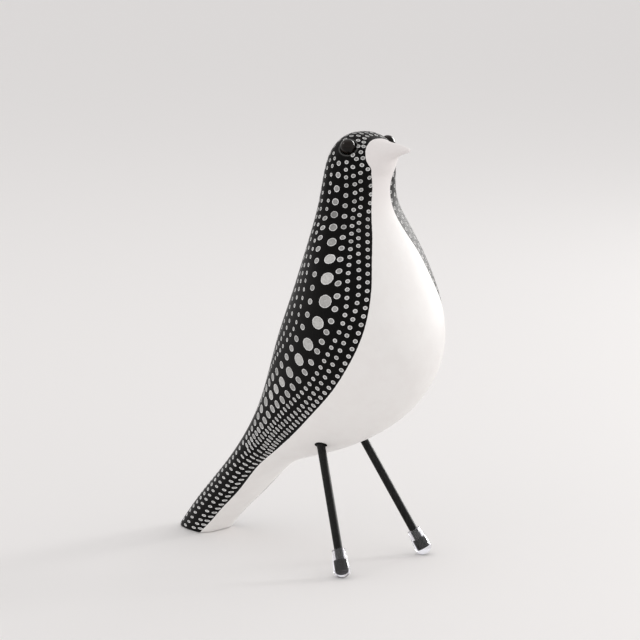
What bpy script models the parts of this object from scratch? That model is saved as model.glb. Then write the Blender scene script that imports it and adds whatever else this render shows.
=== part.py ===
"""Bird ornament: a cast resin song bird on two rod legs with clear plastic feet.

Metres, +Z up, +X towards the beak, +Y to the bird's left. The origin is on the floor
under the middle of the bird. The bird stands on its feet and on the cut end of its tail.
"""
import math

import bmesh
import bpy
import numpy as np
from mathutils import Matrix, Vector

# Driving sizes in metres
HEIGHT = 0.276              # crown of the head above the floor
ROD_DIAMETER = 0.0054       # leg rods
ROD_SEAT_DEPTH = 0.014      # length of rod let into the belly
ROD_MOUTH_FLARE = 0.0009    # countersink round each leg hole, on the radius
ROD_MOUTH_DEPTH = 0.0015
CAP_LENGTH = 0.018          # clear foot caps
CAP_COLLAR_WALL = 0.0016    # wall at the open end
CAP_TOE_WALL = 0.0026       # wall at the widest place
CAP_TOE_RISE = 0.0046       # from the widest place to the rounded end
CAP_SOLE = 0.0030           # plastic between the rod's end and the rounded end
CAP_FLAT = 0.0003           # how far the rounded end is worn flat on the floor
EYE_DIAMETER = 0.0096       # black beads
EYE_SEAT_DIAMETER = 0.0128  # shallow dish round each bead
EYE_SEAT_DEPTH = 0.0011
CLEARANCE = 0.0003          # play between pieces that fit into each other

# Pose and form, in millimetres of a bird of this height, and scaled with HEIGHT
DRAWN_HEIGHT = 276.0
UNIT = HEIGHT / DRAWN_HEIGHT
FOOT_PLACE = (72.2, 40.0)           # x and y of the middle of a foot
ROOT_PLACE = (36.8, 20.0, 76.0)     # where a leg's middle line enters the belly
EYE_PLACE = (58.2, 19.0, 267.9)     # middle of a bead
EYE_FACING = (0.37, 0.77, 0.52)     # outwards from the head at the eye

# Sections from the tail to the beak: back x, back z, front x, front z, half width
SECTIONS = (
    (-113.0, -7.5, -88.0, -29.0, 13.5),     # tail, below the floor before it is cut
    (-87.0, 23.0, -68.0, 4.5, 16.5),        # tail
    (-59.5, 50.5, -41.5, 30.0, 21.0),
    (-34.0, 79.0, -14.0, 53.0, 27.0),       # rump
    (-17.0, 110.0, 27.0, 67.5, 34.5),       # belly
    (-4.5, 145.5, 68.5, 86.5, 42.0),
    (9.5, 177.0, 95.5, 110.0, 47.0),
    (22.5, 207.5, 106.5, 138.0, 48.0),      # breast
    (29.0, 224.5, 98.5, 168.5, 44.0),
    (31.0, 236.0, 86.0, 198.0, 36.0),       # throat
    (32.5, 250.0, 72.5, 224.5, 28.5),
    (38.5, 266.5, 70.5, 243.5, 25.5),       # nape and chin
    (51.0, 276.0, 73.0, 250.5, 20.0),       # crown, at the eyes
    (64.0, 273.0, 75.5, 254.0, 14.0),       # forehead
    (76.0, 270.5, 78.5, 259.0, 8.5),        # root of the beak
    (85.0, 269.3, 84.0, 262.7, 4.0),
    (91.2, 267.3, 91.0, 265.6, 1.4),        # tip of the beak
)
TAIL_FLAT_FROM = 4          # sections before this one grow flat below, towards the tail
TAIL_FLAT_WHOLE = 1         # and from here to the end they are fully flat
CROWN_AT = 12.3             # place of the squarest section of the head
CROWN_REACH = 0.8

# Mesh fineness
RINGS_PER_SECTION = 3
RING_SIDES = 44
ROUND_SIDES = 24
BEAD_RINGS = 14

SIDES = {"left": 1.0, "right": -1.0}


def paint(name, colour, roughness, metallic=0.0, transmission=0.0):
    """A Principled material with plain values."""
    material = bpy.data.materials.new(name)
    material.use_nodes = True
    shader = material.node_tree.nodes["Principled BSDF"]
    shader.inputs["Base Color"].default_value = (*colour, 1.0)
    shader.inputs["Roughness"].default_value = roughness
    shader.inputs["Metallic"].default_value = metallic
    shader.inputs["Transmission Weight"].default_value = transmission
    return material


def scaled(point):
    """A drawn point in millimetres as a vector in metres."""
    return Vector(point) * UNIT


def mirrored(point, side):
    """The same point on the side given by the sign of y."""
    return Vector((point[0], point[1] * side, point[2]))


def new_object(name, mesh, collection, material=None):
    """An object of this mesh, smooth with sharp edges kept."""
    thing = bpy.data.objects.new(name, mesh)
    collection.objects.link(thing)
    if material:
        mesh.materials.append(material)
        mesh.shade_smooth()
        mesh.set_sharp_from_angle(angle=math.radians(40))
    return thing


def mesh_from(bm, name):
    """Turn a finished bmesh into mesh data."""
    mesh = bpy.data.meshes.new(name)
    bm.to_mesh(mesh)
    bm.free()
    return mesh


def hide_cutter(cutter):
    """Keep a cutter out of the model."""
    cutter.hide_render = True
    cutter.display_type = "WIRE"


def cut(target, cutter):
    """Take the cutter's volume out of the target."""
    modifier = target.modifiers.new("Cut " + cutter.name, "BOOLEAN")
    modifier.operation = "DIFFERENCE"
    modifier.object = cutter
    modifier.solver = "EXACT"


def smooth_curve(values, places):
    """Values at fractional places on a natural cubic spline through the rows given."""
    count = len(values)
    bends = np.eye(count)
    right = np.zeros_like(values)
    for row in range(1, count - 1):
        bends[row, row - 1:row + 2] = (1.0, 4.0, 1.0)
        right[row] = 6.0 * (values[row - 1] - 2.0 * values[row] + values[row + 1])
    second = np.linalg.solve(bends, right)
    low = np.clip(np.floor(places).astype(int), 0, count - 2)
    up = (places - low)[:, None]
    down = 1.0 - up
    bend = (down ** 3 - down) * second[low] + (up ** 3 - up) * second[low + 1]
    return down * values[low] + up * values[low + 1] + bend / 6.0


def smooth_step(share):
    """Ease from 0 to 1."""
    share = min(max(share, 0.0), 1.0)
    return share * share * (3.0 - 2.0 * share)


def section_character(place):
    """Where the section is widest, and how square it is in front and at the back."""
    flat = smooth_step((TAIL_FLAT_FROM - place) / (TAIL_FLAT_FROM - TAIL_FLAT_WHOLE))
    crown = math.exp(-0.5 * ((place - CROWN_AT) / CROWN_REACH) ** 2)
    widest = 0.5 - 0.2 * flat + 0.1 * crown
    front_power = 2.0 + 1.0 * flat + 0.1 * crown
    back_power = 2.0 + 0.2 * flat + 0.3 * crown
    return widest, front_power, back_power


def section_point(row, character, turn):
    """A point of one section; turn runs from the front, by the left side, to the back."""
    widest, front_power, back_power = character
    back = Vector((row[0], 0.0, row[1]))
    front = Vector((row[2], 0.0, row[3]))
    middle = front.lerp(back, widest)
    ahead = math.cos(turn)
    aside = math.sin(turn)
    power = 2.0 / (front_power if ahead >= 0.0 else back_power)
    reach = (front if ahead >= 0.0 else back) - middle
    width = math.copysign(abs(aside) ** power, aside) * row[4]
    return (middle + reach * abs(ahead) ** power + Vector((0.0, width, 0.0))) * UNIT


def body_mesh():
    """The bird's body as one loft from below the floor to the tip of the beak."""
    last = len(SECTIONS) - 1
    places = np.linspace(0.0, last, last * RINGS_PER_SECTION + 1)
    rows = smooth_curve(np.array(SECTIONS), places)
    bm = bmesh.new()
    rings = []
    for place, row in zip(places, rows):
        character = section_character(place)
        turns = [math.tau * step / RING_SIDES for step in range(RING_SIDES)]
        rings.append([bm.verts.new(section_point(row, character, turn)) for turn in turns])
    for near, far in zip(rings, rings[1:]):
        for side in range(RING_SIDES):
            after = (side + 1) % RING_SIDES
            bm.faces.new((near[side], near[after], far[after], far[side]))
    bm.faces.new(list(reversed(rings[0])))
    bm.faces.new(rings[-1])
    bmesh.ops.recalc_face_normals(bm, faces=bm.faces)
    return mesh_from(bm, "body")


def leg_frame(side):
    """The place of a foot and its leg: local +Z runs up the leg from the cap's widest place."""
    lean = (scaled(ROOT_PLACE) - scaled((*FOOT_PLACE, 0.0))).normalized()
    toe_radius = ROD_DIAMETER / 2 + CLEARANCE + CAP_TOE_WALL
    fall = math.hypot(toe_radius * math.hypot(lean.x, lean.y), CAP_TOE_RISE * lean.z)
    foot = scaled((*FOOT_PLACE, 0.0)) + Vector((0.0, 0.0, fall - CAP_FLAT))
    axis = mirrored(scaled(ROOT_PLACE) - foot, side).normalized()
    place = Matrix.Translation(mirrored(foot, side))
    return place @ axis.to_track_quat("Z", "Y").to_matrix().to_4x4()


def leg_length():
    """From the cap's widest place to where the leg enters the belly."""
    foot = leg_frame(1.0).translation
    return (scaled(ROOT_PLACE) - foot).length


def rod_bottom():
    """Height of the rod's lower end in the leg's frame."""
    return CAP_SOLE + CLEARANCE - CAP_TOE_RISE


def cylinder(name, radius, bottom, top, frame, collection, material=None, top_radius=None):
    """A cylinder or cone along the frame's Z between two heights."""
    bm = bmesh.new()
    bmesh.ops.create_cone(
        bm, cap_ends=True, segments=ROUND_SIDES, radius1=radius,
        radius2=radius if top_radius is None else top_radius, depth=top - bottom)
    bmesh.ops.translate(bm, verts=bm.verts, vec=(0.0, 0.0, (top + bottom) / 2))
    thing = new_object(name, mesh_from(bm, name), collection, material)
    thing.matrix_world = frame
    return thing


def make_leg(name, side, collection, material, stand):
    """One rod, from inside its cap to the end of its hole in the belly."""
    top = leg_length() + ROD_SEAT_DEPTH
    rod = cylinder(name, ROD_DIAMETER / 2, rod_bottom(), top, leg_frame(side), collection, material)
    rod.parent = stand
    return rod


def cut_leg_hole(body, name, side, cutters):
    """A blind hole with a small countersink for one leg."""
    frame = leg_frame(side)
    radius = ROD_DIAMETER / 2 + CLEARANCE
    entry = leg_length()
    hole = cylinder(name + "_hole", radius, entry - 2 * ROD_SEAT_DEPTH,
                    entry + ROD_SEAT_DEPTH + CLEARANCE, frame, cutters)
    mouth = cylinder(name + "_mouth", radius + ROD_MOUTH_FLARE + ROD_MOUTH_DEPTH,
                     entry - ROD_MOUTH_DEPTH, entry + ROD_MOUTH_DEPTH, frame, cutters,
                     top_radius=radius * 0.98)
    for cutter in (hole, mouth):
        hide_cutter(cutter)
        cut(body, cutter)


def cap_profile():
    """Half outline of a foot cap: up the bore, over the collar, down the outside."""
    bore = ROD_DIAMETER / 2 + CLEARANCE
    collar = bore + CAP_COLLAR_WALL
    toe = bore + CAP_TOE_WALL
    top = CAP_LENGTH - CAP_TOE_RISE
    soften = CAP_COLLAR_WALL * 0.3
    outline = [(0.0, CAP_SOLE - CAP_TOE_RISE), (bore, CAP_SOLE - CAP_TOE_RISE), (bore, top),
               (collar - soften, top), (collar, top - soften)]
    for step in range(1, 5):
        share = step / 4
        outline.append((collar + (toe - collar) * smooth_step(share), (top - soften) * (1 - share)))
    for step in range(1, 9):
        turn = math.radians(90.0) * step / 8
        outline.append((toe * math.cos(turn), -CAP_TOE_RISE * math.sin(turn)))
    outline[-1] = (0.0, -CAP_TOE_RISE)
    return outline


def make_cap(name, side, collection, material, stand, floor):
    """One clear cap, turned about the leg and worn flat where it stands."""
    bm = bmesh.new()
    points = [bm.verts.new((radius, 0.0, height)) for radius, height in cap_profile()]
    for first, second in zip(points, points[1:]):
        bm.edges.new((first, second))
    cap = new_object(name, mesh_from(bm, name), collection, material)
    cap.matrix_world = leg_frame(side)
    turn = cap.modifiers.new("Turn", "SCREW")
    turn.steps = ROUND_SIDES
    turn.render_steps = ROUND_SIDES
    turn.use_merge_vertices = True
    turn.merge_threshold = 0.00001
    turn.use_smooth_shade = True
    cut(cap, floor)
    cap.parent = stand
    return cap


def sphere(name, radius, middle, collection, material=None):
    """A round bead or cutter."""
    bm = bmesh.new()
    bmesh.ops.create_uvsphere(bm, u_segments=ROUND_SIDES, v_segments=BEAD_RINGS, radius=radius)
    thing = new_object(name, mesh_from(bm, name), collection, material)
    thing.location = middle
    return thing


def make_eye(name, side, body, collection, cutters, material, stand):
    """One bead in its shallow dish, let into the head by half."""
    middle = mirrored(scaled(EYE_PLACE), side)
    facing = mirrored(EYE_FACING, side).normalized()
    turned = facing.to_track_quat("Z", "Y")
    eye = sphere(name, EYE_DIAMETER / 2, middle, collection, material)
    eye.rotation_euler = turned.to_euler()
    eye.parent = stand
    socket = sphere(name + "_socket", EYE_DIAMETER / 2 + CLEARANCE, middle, cutters)
    socket.rotation_euler = turned.to_euler()
    dish = cylinder(name + "_dish", EYE_SEAT_DIAMETER / 2 - EYE_SEAT_DEPTH, -EYE_SEAT_DEPTH,
                    EYE_SEAT_DEPTH, Matrix.Translation(middle) @ turned.to_matrix().to_4x4(), cutters,
                    top_radius=EYE_SEAT_DIAMETER / 2 + EYE_SEAT_DEPTH)
    for cutter in (socket, dish):
        hide_cutter(cutter)
        cut(body, cutter)


def make_floor_cutter(cutters):
    """A block under the floor that cuts the tail and the feet level."""
    bm = bmesh.new()
    bmesh.ops.create_cube(bm, size=2 * HEIGHT)
    floor = new_object("floor_cut", mesh_from(bm, "floor_cut"), cutters)
    floor.location = (0.0, 0.0, -HEIGHT)
    hide_cutter(floor)
    return floor


def main():
    """Build the bird from an empty scene."""
    for thing in list(bpy.data.objects):
        bpy.data.objects.remove(thing, do_unlink=True)
    parts = bpy.data.collections.new("bird_ornament")
    cutters = bpy.data.collections.new("cutters")
    for collection in (parts, cutters):
        bpy.context.scene.collection.children.link(collection)
    stand = bpy.data.objects.new("stand", None)
    parts.objects.link(stand)
    black_paint = paint("black satin paint", (0.012, 0.012, 0.012), 0.35)
    black_rod = paint("black lacquered steel", (0.015, 0.015, 0.016), 0.4, metallic=0.3)
    clear = paint("clear plastic", (0.95, 0.96, 0.98), 0.08, transmission=1.0)
    bead = paint("black bead", (0.008, 0.006, 0.006), 0.05)
    floor = make_floor_cutter(cutters)
    body = new_object("body", body_mesh(), parts, black_paint)
    body.parent = stand
    cut(body, floor)
    for label, side in SIDES.items():
        make_leg("leg_" + label, side, parts, black_rod, stand)
        cut_leg_hole(body, "leg_" + label, side, cutters)
        make_cap("foot_cap_" + label, side, parts, clear, stand, floor)
        make_eye("eye_" + label, side, body, parts, cutters, bead, stand)


main()
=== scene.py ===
"""Dressed scene of the bird ornament: painted resin, rows of dots, bead eyes, rod legs, clear feet.

The classes keep their sizes in millimetres of the real bird, and MM turns them into metres. The
studio and its lamps are in metres.
Places along the body count its sections from the tail (0) to the tip of the beak (16), and
turns run from the breast (0 degrees) round the sides to the back (180 degrees).
"""
import logging
import math
from dataclasses import dataclass
from enum import Enum

import bmesh
import bpy
import numpy as np
from mathutils import Matrix, Vector
from mathutils.kdtree import KDTree


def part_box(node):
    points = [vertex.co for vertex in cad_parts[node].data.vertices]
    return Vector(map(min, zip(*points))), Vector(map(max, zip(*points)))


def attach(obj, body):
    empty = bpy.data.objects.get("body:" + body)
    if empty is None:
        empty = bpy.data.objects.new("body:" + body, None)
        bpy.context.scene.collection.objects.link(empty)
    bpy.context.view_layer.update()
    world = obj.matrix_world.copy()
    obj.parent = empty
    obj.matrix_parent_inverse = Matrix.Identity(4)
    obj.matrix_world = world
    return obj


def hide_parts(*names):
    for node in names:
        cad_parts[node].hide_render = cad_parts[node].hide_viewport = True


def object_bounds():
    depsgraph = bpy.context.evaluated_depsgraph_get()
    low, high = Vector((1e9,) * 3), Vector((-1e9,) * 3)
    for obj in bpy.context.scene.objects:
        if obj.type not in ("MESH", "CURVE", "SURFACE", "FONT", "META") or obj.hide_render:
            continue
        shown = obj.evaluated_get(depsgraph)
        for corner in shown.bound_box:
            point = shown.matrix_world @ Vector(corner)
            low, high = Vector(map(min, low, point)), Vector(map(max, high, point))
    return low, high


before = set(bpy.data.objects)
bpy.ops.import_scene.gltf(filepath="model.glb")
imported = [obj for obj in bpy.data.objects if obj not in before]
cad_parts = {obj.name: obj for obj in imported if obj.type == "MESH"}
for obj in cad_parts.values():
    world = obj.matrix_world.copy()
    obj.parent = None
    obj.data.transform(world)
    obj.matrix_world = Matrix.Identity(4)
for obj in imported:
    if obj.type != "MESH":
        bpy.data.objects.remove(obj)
CAD_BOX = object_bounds()

MM = 0.001
# Points closer than this many metres are one point.
SAME_SPOT = 1e-6
# A small step of place or turn, to measure slopes with.
NUDGE = 1e-3
# What a slope or a length counts as at least, where something is divided by it.
LEAST_STRETCH = 1e-3
LEAST_LENGTH = 1e-9
# Faces that meet at more than this angle show an edge.
SHARP_FROM = math.radians(38)
# Dots turned further than this are on the mid-line of the back and have no mirrored copy.
MID_LINE_FROM = math.radians(178)
LOG = logging.getLogger("bird_ornament")


class Side(Enum):
    """The two sides of the bird, with the sign of y on each."""

    LEFT = 1.0
    RIGHT = -1.0

    @property
    def label(self) -> str:
        """The side's name as the nodes spell it."""
        return self.name.lower()


class Grade(Enum):
    """Sizes of dots: (place, width across the row, length along it, pitch), in millimetres.

    They were measured on the photograph and rounded.
    """

    SMALL = ((0.0, 4.3, 1.6, 5.3), (2.9, 3.8, 1.75, 5.2), (3.5, 3.9, 1.8, 3.6), (4.0, 3.8, 1.8, 3.7),
             (4.7, 3.7, 2.0, 4.4), (5.2, 3.2, 2.5, 5.1), (5.8, 3.0, 2.6, 5.6), (7.2, 2.9, 2.6, 5.5),
             (7.8, 2.9, 2.4, 5.3), (11.3, 2.8, 2.4, 5.3), (12.3, 2.8, 2.3, 4.2), (14.0, 2.5, 2.3, 4.2))
    MEDIUM = ((0.0, 3.9, 2.0, 5.3), (3.1, 3.9, 2.2, 3.8), (3.6, 4.3, 2.7, 3.9), (3.9, 5.5, 3.8, 5.6),
              (4.5, 5.7, 4.0, 7.2), (5.5, 5.0, 3.9, 9.0), (5.9, 4.7, 3.8, 9.4), (6.3, 4.5, 3.7, 8.2),
              (7.5, 4.4, 3.4, 8.0), (8.2, 4.1, 3.2, 7.6), (9.1, 3.7, 2.8, 7.0), (9.7, 3.4, 2.8, 7.0),
              (10.3, 2.9, 2.8, 6.2), (11.0, 2.4, 2.3, 5.0), (14.0, 2.4, 2.4, 4.8))
    LARGE = ((0.0, 3.9, 2.1, 5.8), (3.3, 3.6, 2.6, 5.1), (3.6, 4.8, 3.4, 6.0), (4.0, 6.2, 5.1, 7.4),
             (4.7, 6.8, 5.3, 9.0), (5.2, 7.7, 6.3, 12.0), (5.6, 8.7, 7.5, 14.5), (6.3, 9.7, 8.1, 16.0),
             (7.1, 9.8, 7.9, 14.3), (7.7, 9.2, 7.0, 13.0), (8.3, 7.2, 5.7, 11.5), (8.9, 5.6, 4.9, 9.9),
             (9.5, 4.6, 4.4, 8.4), (10.3, 3.7, 4.3, 8.4), (11.2, 2.7, 3.1, 7.3))

    def _column(self, places: np.ndarray, column: int) -> np.ndarray:
        """One column of the table at these places."""
        return np.interp(places, [row[0] for row in self.value], [row[column] for row in self.value])

    def width(self, places: np.ndarray) -> np.ndarray:
        """Widths of this grade's dots across their row at these places, in millimetres."""
        return self._column(places, 1)

    def length(self, places: np.ndarray) -> np.ndarray:
        """Lengths of this grade's dots along their row at these places, in millimetres."""
        return self._column(places, 2)

    def pitch(self, places: np.ndarray) -> np.ndarray:
        """Distances from dot to dot at these places, in millimetres."""
        return self._column(places, 3)


def smooth_through(marks: np.ndarray, values: np.ndarray, wanted: np.ndarray) -> np.ndarray:
    """Values on the natural cubic spline through the values at the marks.

    Args:
        marks: Rising positions of the given values.
        values: One row of values for each mark.
        wanted: Positions to work out.

    Returns:
        One row of values for each wanted position.
    """
    gaps = np.diff(marks)
    bends = np.eye(len(marks))
    right = np.zeros_like(values)
    slopes = np.diff(values, axis=0) / gaps[:, None]
    for row in range(1, len(marks) - 1):
        bends[row, row - 1:row + 2] = gaps[row - 1], 2.0 * (gaps[row - 1] + gaps[row]), gaps[row]
        right[row] = 6.0 * (slopes[row] - slopes[row - 1])
    second = np.linalg.solve(bends, right)
    low = np.clip(np.searchsorted(marks, wanted, side="right") - 1, 0, len(marks) - 2)
    gap = gaps[low][:, None]
    up = (wanted - marks[low])[:, None] / gap
    down = 1.0 - up
    bend = ((down ** 3 - down) * second[low] + (up ** 3 - up) * second[low + 1]) * gap ** 2
    return down * values[low] + up * values[low + 1] + bend / 6.0


def smooth_step(share: np.ndarray) -> np.ndarray:
    """Ease from 0 to 1."""
    share = np.clip(share, 0.0, 1.0)
    return share * share * (3.0 - 2.0 * share)


def mesh_positions(mesh: bpy.types.Mesh) -> np.ndarray:
    """Read the vertex positions of a mesh.

    Args:
        mesh: The mesh.

    Returns:
        One row of x, y and z for each vertex.
    """
    found = np.empty(len(mesh.vertices) * 3)
    mesh.vertices.foreach_get("co", found)
    return found.reshape(-1, 3)


def finish_piece(name: str, mesh: bpy.types.Mesh, material: bpy.types.Material, node: str) -> bpy.types.Object:
    """Turn a mesh in the row frame into a piece of the bird.

    Args:
        name: Name of the new piece.
        mesh: Its finished mesh.
        material: Its finish.
        node: The CAD node that it stands for.

    Returns:
        The new object, riding on the one body there is.
    """
    mesh.materials.append(material)
    mesh.shade_smooth()
    mesh.set_sharp_from_angle(angle=SHARP_FROM)
    piece = bpy.data.objects.new(name, mesh)
    bpy.context.scene.collection.objects.link(piece)
    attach(piece, "root")
    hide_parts(node)
    LOG.info("%s: %d faces, replaces %s", name, len(mesh.polygons), node)
    return piece


def mesh_from(bm: bmesh.types.BMesh, name: str) -> bpy.types.Mesh:
    """Turn a finished bmesh into mesh data, with its normals outwards.

    Args:
        bm: The finished shape, which is freed.
        name: What the mesh is called.

    Returns:
        The new mesh.
    """
    bmesh.ops.recalc_face_normals(bm, faces=bm.faces)
    mesh = bpy.data.meshes.new(name)
    bm.to_mesh(mesh)
    bm.free()
    return mesh


def cut_at_floor(bm: bmesh.types.BMesh, geometry: list, within: float) -> list:
    """Cut away what is below the floor.

    Args:
        bm: The closed shape.
        geometry: Its vertices, edges and faces.
        within: Distance in metres at which a vertex counts as on the floor.

    Returns:
        The edges of the cut.
    """
    cut = bmesh.ops.bisect_plane(bm, geom=geometry, dist=within, plane_co=(0.0, 0.0, 0.0),
                                 plane_no=(0.0, 0.0, 1.0), clear_inner=True)
    return [item for item in cut["geom_cut"] if isinstance(item, bmesh.types.BMEdge)]


@dataclass(frozen=True)
class Spindle:
    """The middle line of a turned CAD node."""

    low: Vector
    high: Vector
    radius: float

    @classmethod
    def of_node(cls, name: str) -> "Spindle":
        """Measure the middle line of a rod-like node.

        Args:
            name: Name of the CAD node.

        Returns:
            The line from its lower to its upper end, and its greatest radius.
        """
        found = mesh_positions(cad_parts[name].data)
        middle = (found.min(axis=0) + found.max(axis=0)) / 2
        axis = np.linalg.svd(found - found.mean(axis=0), full_matrices=False)[2][0]
        axis = axis if axis[2] > 0 else -axis
        along = (found - middle) @ axis
        radius = np.linalg.norm(found - middle - np.outer(along, axis), axis=1).max()
        return cls(Vector(middle + axis * along.min()), Vector(middle + axis * along.max()), radius)

    @property
    def frame(self) -> Matrix:
        """A frame with its origin at the low end and +Z up the line."""
        turned = (self.high - self.low).to_track_quat("Z", "Y").to_matrix().to_4x4()
        return Matrix.Translation(self.low) @ turned

    @property
    def length(self) -> float:
        """Length of the line."""
        return (self.high - self.low).length


@dataclass(frozen=True)
class BodyForm:
    """The outer form of the cast body, as a loft of sections.

    Each section gives its back's x and z, its front's x and z, and its half width. They were
    fitted to the photograph's outline and rounded. A fullness is 2 on an ellipse, with what the
    flat tail and the crown of the head add to it.
    """

    drawn_height: float = 276.15
    sections: tuple = (
        (-113.0, -7.5, -88.0, -29.0, 13.5),
        (-87.0, 23.0, -68.0, 4.5, 16.5),
        (-59.5, 50.5, -41.5, 30.0, 21.0),
        (-34.0, 79.0, -14.0, 53.0, 27.0),
        (-17.0, 110.0, 27.0, 67.5, 34.5),
        (-4.5, 145.5, 68.5, 86.5, 42.0),
        (9.5, 177.0, 95.5, 110.0, 47.0),
        (22.5, 207.5, 106.5, 138.0, 48.0),
        (29.0, 224.5, 98.5, 168.5, 44.0),
        (31.0, 236.0, 86.0, 198.0, 36.0),
        (32.5, 250.0, 72.5, 224.5, 28.5),
        (38.5, 266.5, 70.5, 243.5, 25.5),
        (51.0, 276.0, 73.0, 250.5, 20.0),
        (64.0, 273.0, 75.5, 254.0, 14.0),
        (76.0, 270.5, 78.5, 259.0, 8.5),
        (85.0, 269.3, 84.0, 262.4, 4.2),
        (90.6, 267.7, 90.2, 264.6, 2.1),
    )
    tail_flat_from: float = 4.0
    tail_flat_whole: float = 1.0
    crown_at: float = 12.3
    crown_reach: float = 0.8
    tip_length: float = 1.8
    tip_bluntness: float = 0.8
    widest_at: float = 0.5
    tail_widest_shift: float = -0.2
    crown_widest_shift: float = 0.1
    front_fullness: tuple = (2.0, 1.0, 0.1)
    back_fullness: tuple = (2.0, 0.2, 0.3)

    @property
    def last(self) -> float:
        """Place of the last section; one more place rounds the tip."""
        return len(self.sections) - 1.0

    @property
    def unit(self) -> float:
        """Metres in a drawn millimetre."""
        return (CAD_BOX[1].z - CAD_BOX[0].z) / self.drawn_height

    @staticmethod
    def power(fullness: tuple, flat: np.ndarray, crown: np.ndarray) -> np.ndarray:
        """The exponent of a half section's outline where it is this much tail and crown."""
        plain, tail_more, crown_more = fullness
        return 2.0 / (plain + tail_more * flat + crown_more * crown)

    def points(self, places: np.ndarray, turns: np.ndarray) -> np.ndarray:
        """Points on the body.

        Args:
            places: Places along the body.
            turns: Turns round it in radians, one for each place, negative on the right side.

        Returns:
            One point for each pair, in metres.
        """
        within = np.minimum(places, self.last)
        rows = smooth_through(np.arange(self.last + 1.0), np.array(self.sections), within)
        flat = smooth_step((self.tail_flat_from - within) / (self.tail_flat_from - self.tail_flat_whole))
        crown = np.exp(-0.5 * ((within - self.crown_at) / self.crown_reach) ** 2)
        ahead = np.cos(turns)
        aside = np.sin(turns)
        leading = ahead >= 0.0
        widest = self.widest_at + self.tail_widest_shift * flat + self.crown_widest_shift * crown
        power = np.where(leading, self.power(self.front_fullness, flat, crown),
                         self.power(self.back_fullness, flat, crown))
        nought = np.zeros(len(rows))
        back = np.stack((rows[:, 0], nought, rows[:, 1]), axis=1)
        front = np.stack((rows[:, 2], nought, rows[:, 3]), axis=1)
        middle = front + (back - front) * widest[:, None]
        reach = np.where(leading[:, None], front, back) - middle
        spread = reach * (np.abs(ahead) ** power)[:, None]
        spread[:, 1] = np.sign(aside) * np.abs(aside) ** power * rows[:, 4]
        round_off = np.clip(places - self.last, 0.0, 1.0) * math.pi / 2
        found = middle + spread * (np.cos(round_off) ** self.tip_bluntness)[:, None]
        found[:, 0] += np.sin(round_off) * self.tip_length
        return found * self.unit

    def even_places(self, count: int, samples: int = 2000) -> np.ndarray:
        """Places that cut the body into lengths that are even along its sides.

        Args:
            count: How many places.
            samples: How many places the body is measured at.

        Returns:
            Rising places from the tail to the tip of the beak.
        """
        fine = np.linspace(0.0, self.last + 1.0, samples)
        length = np.zeros(len(fine))
        for turn in (0.0, math.pi / 2, math.pi):
            line = self.points(fine, np.full(len(fine), turn))
            length[1:] += np.cumsum(np.linalg.norm(np.diff(line, axis=0), axis=1))
        return np.interp(np.linspace(0.0, length[-1], count), length, fine)


@dataclass(frozen=True)
class Dot:
    """One light dot: where it is, which way its row runs, its size in millimetres and its lean."""

    place: float
    turn: float
    onward: tuple
    width: float
    length: float
    lean: float

    def mirrored(self) -> "Dot":
        """The same dot on the other side of the bird."""
        ahead, aside, up = self.onward
        return Dot(self.place, -self.turn, (ahead, -aside, up), self.width, self.length, -self.lean)


@dataclass(frozen=True)
class DotRow:
    """A row of dots through these points of (place, turn in degrees), with a dot on each of them.

    Its dots may be narrower than their grade, and they lean by the degrees given at some places.
    """

    grade: Grade
    bends: tuple
    narrowed: float = 1.0
    leans: tuple = ((0.0, 46.0), (2.0, 46.0), (2.6, 34.0), (3.1, 12.0), (4.7, 8.0), (5.5, 20.0),
                    (6.5, 27.0), (9.5, 24.0), (10.5, 10.0), (12.0, 0.0))

    def dots(self, form: BodyForm, samples: int = 1200) -> list:
        """The row's dots on both sides of the bird.

        Args:
            form: The body that carries them.
            samples: How many points the row is measured at.

        Returns:
            All dots, with turns in radians.
        """
        bends = np.array(self.bends, dtype=float)
        held = form.points(bends[:, 0], np.radians(bends[:, 1]))
        marks = np.concatenate(([0.0], np.cumsum(np.linalg.norm(np.diff(held, axis=0), axis=1))))
        fine = np.unique(np.concatenate((np.linspace(0.0, marks[-1], samples), marks)))
        route = smooth_through(marks, bends, fine)
        line = form.points(route[:, 0], np.radians(route[:, 1]))
        steps = np.linalg.norm(np.diff(line, axis=0), axis=1) / MM
        pitch = self.grade.pitch(route[:, 0])
        count = np.concatenate(([0.0], np.cumsum(2.0 * steps / (pitch[1:] + pitch[:-1]))))
        held_count = np.interp(marks, fine, count)
        whole = np.cumsum(np.concatenate(([0.0], np.maximum(1.0, np.round(np.diff(held_count))))))
        spots = np.interp(np.arange(whole[-1] + 1.0), np.interp(count, held_count, whole), fine)
        places = np.interp(spots, fine, route[:, 0])
        turns = np.radians(np.interp(spots, fine, route[:, 1]))
        headings = np.gradient(line, axis=0)
        onward = np.stack([np.interp(spots, fine, column) for column in headings.T], axis=1)
        widths = self.grade.width(places) * self.narrowed
        leans = np.radians(np.interp(places, *zip(*self.leans))) * (turns < MID_LINE_FROM)
        found = [Dot(*values) for values in zip(places, turns, onward, widths,
                                                self.grade.length(places), leans)]
        return found + [dot.mirrored() for dot in found if dot.turn < MID_LINE_FROM]


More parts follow.
